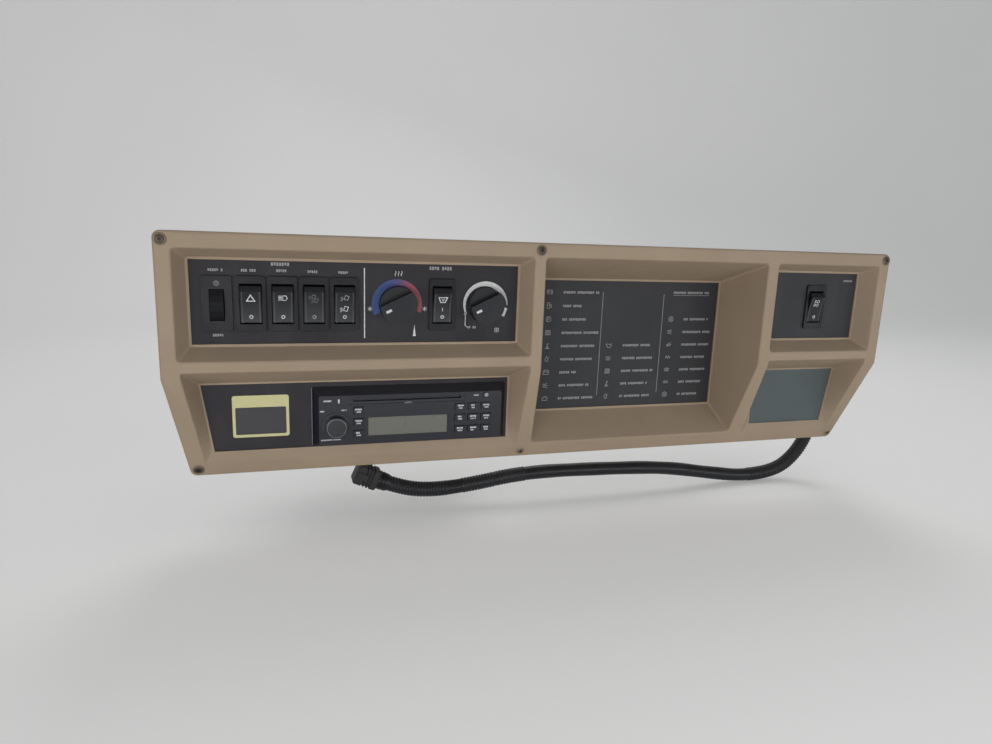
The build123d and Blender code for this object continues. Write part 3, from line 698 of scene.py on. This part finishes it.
def put_lamp(marks, x, y, size=1.0):
    """Lamp sign: a tilted square with three rays to its left."""
    square = ((-1.6, -1.3), (0.9, -1.9), (1.9, 1.0), (-0.6, 1.7))
    marks.line([(x + u * size, y + v * size) for u, v in square], 0.55, True)
    for spread in (-0.9, 0.0, 0.9):
        ray = ((-2.3, -0.4 + spread), (-4.0, -1.2 + 1.5 * spread))
        marks.line([(x + u * size, y + v * size) for u, v in ray], 0.45)


def add_rocker_marks():
    # Rockers: name, x
    rockers = [("hazard", -290.3), ("road_light", -264.65), ("field_light", -239.0), ("work_light", -213.35),
               ("ac", -126.6), ("aux", 285.2)]
    for name, x in rockers:
        upper, lower = rocker_sheets(x)
        marks = FlatMarks(upper)
        if name == "hazard":
            marks.line([(-3.2, 3.9), (3.2, 3.9), (0, 9.2)], 0.9, True)
        elif name == "road_light":
            marks.line([(0, 4.8), (0, 8.8), (2.6, 8.8), (3.6, 6.8), (2.6, 4.8)], 0.55, True)
            for y in (5.0, 6.2, 7.4, 8.6):
                marks.box(-2.2, y, 3.0, 0.55)
        elif name == "field_light":
            put_lamp(marks, -0.6, 8.4)
            put_lamp(marks, 1.4, 5.0)
        elif name == "work_light":
            put_lamp(marks, 1.2, 7.6, 1.2)
            second = FlatMarks(lower)
            put_lamp(second, 0.8, -2.5, 1.2)
            second.piece(name + "_second_symbol", name + "_rocker", "print_white")
        elif name == "ac":
            marks.line([(-3.9, 8.4), (3.9, 8.4), (2.1, 3.7), (-2.1, 3.7)], 0.8, True)
            marks.line([(-1.2, 7.2), (0, 5.0), (1.2, 7.2)], 0.6)
        else:
            for dy in (3.4, 7.4):
                marks.line(circle(0.9, dy, 1.4, count=12), 0.5, True)
                marks.line([(-0.9, dy + 0.6), (-3.2, dy + 1.6), (-3.2, dy - 1.2), (-0.9, dy - 0.6)], 0.5)
        marks.piece(name + "_symbol", name + "_rocker", MARK_INK.get(name, "print_white"))
        # Painted highlights along the side edges
        sheen = FlatMarks(upper)
        foot = FlatMarks(lower)
        for side in (-1, 1):
            sheen.box(side * EDGE_X, 6.0, EDGE_W, 12.0)
            foot.box(side * EDGE_X, -7.6, EDGE_W, 15.2)
        sheen.piece(name + "_upper_edge_highlights", name + "_rocker", "painted_highlight")
        foot.piece(name + "_lower_edge_highlights", name + "_rocker", "painted_highlight")
        zero = FlatMarks(lower)
        zero.line(circle(0.0, -9.8, 1.3, count=16), 0.7, True)
        if name == "ac":
            zero.box(0, -3.0, 0.6, 3.2)
        zero.piece(name + "_off_mark", name + "_rocker", "print_grey" if name == "field_light" else "print_white")


def add_dimmer_mark():
    sheet = Sheet(at(0, 0, UPPER_DEPTH - 2.0), Vector((0, 0, 1)))
    marks = FlatMarks(sheet)
    marks.line(circle(-316.7, 76.6, 1.8, count=16), 0.5, True)
    marks.box(-316.7, 76.6, 0.5, 2.0)
    marks.piece("dimmer_symbol", "root", "print_grey")


def add_pointers():
    for name, x in KNOBS.items():
        marks = FlatMarks(facing(UPPER_DEPTH - 15.0))
        marks.box(x - 10.3 * math.cos(POINTER_TURN), SWITCH_ROW - 10.3 * math.sin(POINTER_TURN), 5.2, 2.2,
                  POINTER_TURN)
        marks.piece(name + "_pointer", name + "_knob", "print_white")


def rounded(left, right, low, high, radius):
    """Outline of an upright rectangle with round corners."""
    made = []
    for x, y, start in ((right - radius, high - radius, 0), (left + radius, high - radius, 90),
                        (left + radius, low + radius, 180), (right - radius, low + radius, 270)):
        made += circle(x, y, radius, start, start + 90, 6)
    return made


def add_label():
    """Blank plate: a dark field on a cream one."""
    left, right, low, high = -309.8, -261.9, -61.5, -23.3
    corner = 2.2
    plate = FlatMarks(facing(LOWER_DEPTH))
    plate.fill(rounded(left, right, low, high, corner))
    plate.piece("label_plate", "root", "label_cream")
    field = FlatMarks(facing(LOWER_DEPTH - 0.08))
    field.fill(rounded(left + 2.5, right - 2.5, low + 2.5, high - 10.8, 0.5 * corner))
    field.piece("label_field", "root", "label_dark")


RADIO_X, RADIO_Z = -150.0, -44.6
NOSE_FRONT = LOWER_DEPTH - 7.0
KEY_FRONT = NOSE_FRONT - 1.2
VOLUME = (RADIO_X - 71.0, RADIO_Z - 8.2)
KEY_COLUMNS = (-50.8, 45.4, 58.3, 71.2)     # mm from the radio's middle, as in the CAD
KEY_ROWS = (5.8, -5.0, -16.4)


def add_radio_marks():
    front = FlatMarks(facing(NOSE_FRONT))
    # Legends on the face: x, height, width, letter height
    for seed, (x, y, w, h) in enumerate([(-228.3, -29.2, 7.0, 1.5), (-232.9, -38.7, 4.6, 1.3),
                                         (-213.8, -38.1, 4.6, 1.2), (-225.6, -65.8, 18.0, 1.1),
                                         (-89.2, -28.2, 4.4, 1.2)]):
        front.words(x, y, w, h, seed)
    front.box(-218.5, -29.7, 1.4, 3.6)
    front.piece("radio_face_marks", "root", "print_white")
    keys = FlatMarks(facing(KEY_FRONT))
    for column, x in enumerate(KEY_COLUMNS):
        for row, y in enumerate(KEY_ROWS):
            keys.words(RADIO_X + x, RADIO_Z + y + 1.1, 6.6 - (column + row) % 3 * 0.8, 1.6, column + row)
            keys.words(RADIO_X + x, RADIO_Z + y - 1.3, 3.8 + (column * row) % 3 * 0.7, 1.3, column)
    keys.piece("radio_key_marks", "root", "print_white")
    # Painted highlights: a bright ring round the knob's rim, and the arc of its ring that shows above it
    rim = FlatMarks(facing(NOSE_FRONT - 8.6))
    rim.line(circle(*VOLUME, 8.4, count=40), 0.5, True)
    rim.piece("radio_knob_rim_highlight", "radio_knob", "dim_print_and_painted_highlight")
    arc = FlatMarks(facing(NOSE_FRONT - 1.2))
    arc.line(circle(*VOLUME, 11.7, 25, 195, 24), 0.45)
    arc.piece("radio_ring_arc_highlight", "root", "painted_highlight")
    cap = FlatMarks(facing(KEY_FRONT))
    cap.fill(circle(RADIO_X + 70.8, RADIO_Z + 16.8, 2.0))
    cap.piece("radio_round_key_cap", "root", "print_grey")
    # Painted highlights: a light patch where the thumb notch dips below the slot, and a bright strip along the face's
    # left edge
    notch = FlatMarks(facing(NOSE_FRONT))
    notch.fill([(-159.5, -33.6)] + [(-155.0 + 4.0 * math.cos(a), -33.4 + 1.5 * math.sin(a))
                                    for a in (math.radians(180 - 18 * i) for i in range(11))] + [(-150.5, -33.6)])
    notch.piece("radio_notch_highlight", "root", "dim_print_and_painted_highlight")
    strip = FlatMarks(facing(LOWER_DEPTH), 1.4 * MM)
    strip.box(-242.1, RADIO_Z, 0.7, 53.0)
    strip.piece("radio_edge_highlight", "root", "dim_print_and_painted_highlight")


add_switch_panel_marks()
add_arcs()
add_indicator_marks()
add_small_marks()
add_rocker_marks()
add_dimmer_mark()
add_pointers()
add_label()
add_radio_marks()

# Screws

SCREW_SIDES = 40


def turned(build, origin, across, up, out, profile, material=0):
    """Revolves (radius, rise) points in mm round an axis."""
    rings = []
    for r, rise in profile:
        rings.append([build.verts.new(origin + (across * math.cos(a) + up * math.sin(a)) * r * MM + out * rise * MM)
                      for a in (2 * math.pi * k / SCREW_SIDES for k in range(SCREW_SIDES))])
    for low, high in zip(rings, rings[1:]):
        for k in range(SCREW_SIDES):
            m = (k + 1) % SCREW_SIDES
            face = build.faces.new((low[k], low[m], high[m], high[k]))
            face.material_index = material
            face.smooth = True
    return rings


def add_screw(name, origin, up, turn, washer, head_metal):
    """Countersunk screw with a cross recess in a cup washer."""
    across = Vector((1, 0, 0))
    out = across.cross(up)
    build = bmesh.new()
    # Cup washer, from its foot over its rim to the seat of the head
    turned(build, origin, across, up, out, [(4.75, -0.3), (4.85, 0.1), (4.75, 0.55), (4.45, 0.9), (4.0, 1.05),
                                            (3.6, 0.98), (3.45, 0.8), (2.2, -0.2), (2.2, -0.6), (4.75, -0.3)])
    # Head and shank
    head = [(3.35, 0.7), (3.4, 0.85), (3.2, 1.02), (2.6, 1.2), (2.0, 1.28)]
    rings = turned(build, origin, across, up, out, [(1.9, -1.5), (1.9, -0.6), (3.2, 0.55)] + head, 1)
    foot = rings[0]
    build.faces.new(foot[::-1]).material_index = 1
    # Cross recess: its outline follows the top ring inwards along two crossing slots, and its walls and floor take
    # black plastic as painted shade
    slot = 0.42
    inner = []
    for k in range(SCREW_SIDES):
        a = 2 * math.pi * k / SCREW_SIDES
        u, v = math.cos(a - turn), math.sin(a - turn)
        reach = 1.75 if min(abs(u), abs(v)) < 0.24 else slot / max(min(abs(u), abs(v)), 0.3)
        reach = min(reach, 1.75)
        inner.append((reach, a))
    for rise, shrink in ((1.28, 1.0), (0.15, 0.72)):
        rings.append([build.verts.new(origin + (across * math.cos(a) + up * math.sin(a)) * r * shrink * MM
                                      + out * rise * MM) for r, a in inner])
    for low, high in zip(rings[-3:], rings[-2:]):
        for k in range(SCREW_SIDES):
            m = (k + 1) % SCREW_SIDES
            build.faces.new((low[k], low[m], high[m], high[k])).material_index = 2 if high is rings[-1] else 1
    build.faces.new(rings[-1]).material_index = 2
    bmesh.ops.recalc_face_normals(build, faces=build.faces)
    mesh = bpy.data.meshes.new(name)
    build.to_mesh(mesh)
    build.free()
    mesh.materials.append(materials[washer])
    mesh.materials.append(materials[head_metal])
    # Black plastic for the recess's walls and floor: painted shade
    mesh.materials.append(materials["control_black"])
    mesh.set_sharp_from_angle(angle=math.radians(50))
    add_piece(name, mesh, "root", washer)


def add_screws():
    lower_up = Vector((0, -math.sin(FOLD), math.cos(FOLD)))
    for i, x in enumerate((-354.0, -39.8, 354.0)):
        add_screw(f"top_screw_{i + 1}", at(x, 111.5, 0), Vector((0, 0, 1)), 0.4 + 0.5 * i,
                  "washer_steel", "screw_steel")
    # The washers of the last two show the fascia's tan, and their heads are paler
    looks = (("washer_steel", "screw_steel"), ("fascia_tan", "washer_steel"), ("fascia_tan", "washer_steel"))
    for i, (x, (washer, head_metal)) in enumerate(zip((-339.4, -39.8, 339.4), looks)):
        fold = at(x, 0, 0)
        add_screw(f"bottom_screw_{i + 1}", fold - lower_up * 95.0 * MM, lower_up, 0.9 + 0.6 * i,
                  washer, head_metal)


add_screws()

# Plug of the loom

PLUG_CORNER = 2.0
# Half width and distance from the loom's end, in mm: a square body with three grip grooves
PLUG_PROFILE = [(8.8, 0.0), (10.0, 1.2), (10.0, 6.4), (8.9, 6.9), (8.9, 8.1), (10.0, 8.6), (10.0, 9.8),
                (8.9, 10.3), (8.9, 11.5), (10.0, 12.0), (10.0, 13.2), (8.9, 13.7), (8.9, 14.9), (10.0, 15.4),
                (10.0, 22.8), (8.8, 24.0)]
# Radius and distance towards the loom, in mm: ribbed collar that tapers to the conduit
COLLAR_PROFILE = [(7.2, -0.6), (9.4, -0.6), (9.4, 2.2), (8.6, 2.6), (8.6, 3.4), (9.4, 3.8), (9.4, 5.6),
                  (8.6, 6.0), (8.6, 6.8), (9.2, 7.2), (9.0, 9.6), (8.3, 11.6), (7.2, 11.8), (7.2, -0.6)]
LATCH = Vector((11.0, 2.4, 7.0))    # mm: along the plug, proud of it and across


def add_plug():
    """Moulded plug with grip grooves and a latch, and the collar that holds the loom in it."""
    (x, depth, height), (next_x, next_depth, next_height) = LOOM_ROUTE[:2]
    mouth = at(x, height, depth)
    away = (mouth - at(next_x, next_height, next_depth)).normalized()
    across = Vector((0, 1, 0))
    up = away.cross(across)
    build = bmesh.new()
    rings = []
    for half, along in PLUG_PROFILE:
        rings.append([build.verts.new(mouth + (across * u + up * v + away * along) * MM)
                      for u, v in rounded(-half, half, -half, half, PLUG_CORNER)])
    sides = len(rings[0])
    for low, high in zip(rings, rings[1:]):
        for k in range(sides):
            m = (k + 1) % sides
            build.faces.new((low[k], low[m], high[m], high[k]))
    build.faces.new(rings[0][::-1])
    build.faces.new(rings[-1])
    # Latch on the front
    place = Matrix((away, across, up)).transposed().to_4x4()
    place.translation = mouth + (away * 16.2 - across * 9.8) * MM
    latch = bmesh.ops.create_cube(build, size=MM, matrix=place @ Matrix.Diagonal(LATCH).to_4x4())
    edges = {e for v in latch["verts"] for e in v.link_edges}
    bmesh.ops.bevel(build, geom=list(edges), offset=0.5 * MM, segments=2, affect="EDGES")
    bmesh.ops.recalc_face_normals(build, faces=build.faces)
    mesh = bpy.data.meshes.new("loom_plug_body")
    build.to_mesh(mesh)
    build.free()
    mesh.shade_smooth()
    mesh.set_sharp_from_angle(angle=math.radians(28))
    plug = add_piece("loom_plug_body", mesh, "root", "housing_black")
    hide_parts("loom_plug")
    build = bmesh.new()
    turned(build, mouth, across, up, -away, COLLAR_PROFILE)
    bmesh.ops.recalc_face_normals(build, faces=build.faces)
    mesh = bpy.data.meshes.new("loom_collar")
    build.to_mesh(mesh)
    build.free()
    mesh.set_sharp_from_angle(angle=math.radians(28))
    add_piece("loom_collar", mesh, "root", "loom_tape")


add_plug()

# Stage

PALE = linear(232, 232, 230)
FLOOR_GLOW = 0.26


def add_stage():
    """Pale floor that curves up into a backdrop."""
    floor_z = cad_box[0].z
    profile = [(-3.0, 0.0), (1.4, 0.0)]
    bend = 0.8
    profile += [(1.4 + bend * math.sin(a), bend - bend * math.cos(a))
                for a in (math.radians(9 * i) for i in range(1, 11))]
    profile.append((1.4 + bend, 4.0))
    build = bmesh.new()
    rows = [[build.verts.new((x, y, floor_z + z)) for y, z in profile] for x in (-4.0, 4.0)]
    for i in range(len(profile) - 1):
        build.faces.new((rows[0][i], rows[1][i], rows[1][i + 1], rows[0][i + 1])).smooth = True
    mesh = bpy.data.meshes.new("floor")
    build.to_mesh(mesh)
    build.free()
    made, nodes, links, shader = new_material("floor")
    cloud = noise(nodes, links, 0.5, 2.0)
    links.new(mixed(nodes, links, ranged(nodes, links, cloud.outputs["Fac"], 0, 1),
                    shaded(PALE, 0.97), PALE), shader.inputs["Base Color"])
    shader.inputs["Roughness"].default_value = 0.85
    # Paler for the camera, and for what mirrors or shows the floor, with no more light on the object
    path = nodes.new("ShaderNodeLightPath")
    total = path.outputs["Is Camera Ray"]
    for ray in ("Is Glossy Ray", "Is Transmission Ray"):
        both = nodes.new("ShaderNodeMath")
        both.operation = "MAXIMUM"
        links.new(total, both.inputs[0])
        links.new(path.outputs[ray], both.inputs[1])
        total = both.outputs["Value"]
    glow = nodes.new("ShaderNodeMath")
    glow.operation = "MULTIPLY"
    glow.inputs[1].default_value = FLOOR_GLOW
    links.new(total, glow.inputs[0])
    shader.inputs["Emission Color"].default_value = PALE
    links.new(glow.outputs["Value"], shader.inputs["Emission Strength"])
    mesh.materials.append(made)
    floor = bpy.data.objects.new("floor", mesh)
    scene.collection.objects.link(floor)


def add_lamp(name, place, target, width, height, power, colour=(1, 1, 1)):
    lamp = bpy.data.objects.new(name, bpy.data.lights.new(name, "AREA"))
    lamp.data.shape = "RECTANGLE"
    lamp.data.size = width
    lamp.data.size_y = height
    lamp.data.energy = power
    lamp.data.color = colour
    lamp.location = place
    lamp.rotation_mode = "QUATERNION"
    lamp.rotation_quaternion = (Vector(target) - Vector(place)).to_track_quat("-Z", "Y")
    lamp.visible_camera = False
    scene.collection.objects.link(lamp)


def add_light():
    middle = (0.0, 0.0, -0.1)
    add_lamp("key", (-0.95, -1.3, -0.13), middle, 1.3, 0.26, 8.5, (1.0, 0.98, 0.95))
    add_lamp("fill", (1.3, -1.25, -0.11), middle, 1.5, 0.3, 5, (0.96, 0.98, 1.0))
    # Footlight: the photograph is lit from below
    add_lamp("foot", (0.05, -0.68, -0.235), (0.0, 0.0, 0.0), 1.3, 0.2, 2.6, (0.98, 0.99, 1.0))
    add_lamp("top", (0.0, -0.4, 1.9), middle, 1.6, 1.6, 3)
    add_lamp("back", (0.4, 1.2, 1.3), middle, 1.2, 1.2, 8)
    world = bpy.data.worlds.new("world")
    scene.world = world
    world.use_nodes = True
    world.node_tree.nodes["Background"].inputs["Color"].default_value = (0.93, 0.95, 1.0, 1.0)
    world.node_tree.nodes["Background"].inputs["Strength"].default_value = 0.28


add_stage()
add_light()
